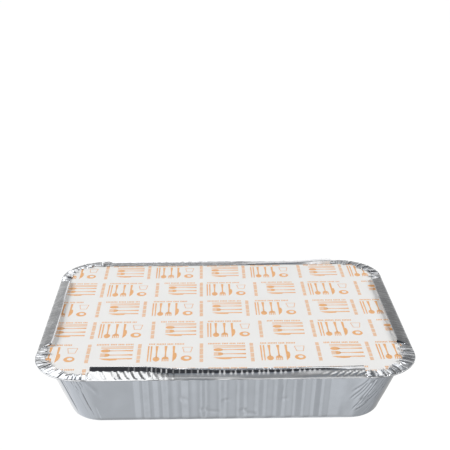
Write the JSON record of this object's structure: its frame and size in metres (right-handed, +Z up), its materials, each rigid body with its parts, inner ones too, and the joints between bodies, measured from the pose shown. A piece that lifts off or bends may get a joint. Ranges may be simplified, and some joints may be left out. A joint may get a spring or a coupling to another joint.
{
  "type": "foil food container",
  "caption": "Shallow rectangular pressed-foil tray with rounded corners and fluted leaning walls, closed by a flat card lid held under the folded foil lip.",
  "frame": {"origin": "middle of the tray's floor, on the surface it stands on", "axes": "+X along the long side, +Y to the back, +Z up out of the tray"},
  "size_m": [0.227, 0.177, 0.0462],
  "materials": {
    "foil": "bright creased foil",
    "card": "smooth laminated card with a light orange print"
  },
  "bodies": {
    "root": {"foil_tray": "foil", "card_lid": "card"}
  },
  "joints": []
}
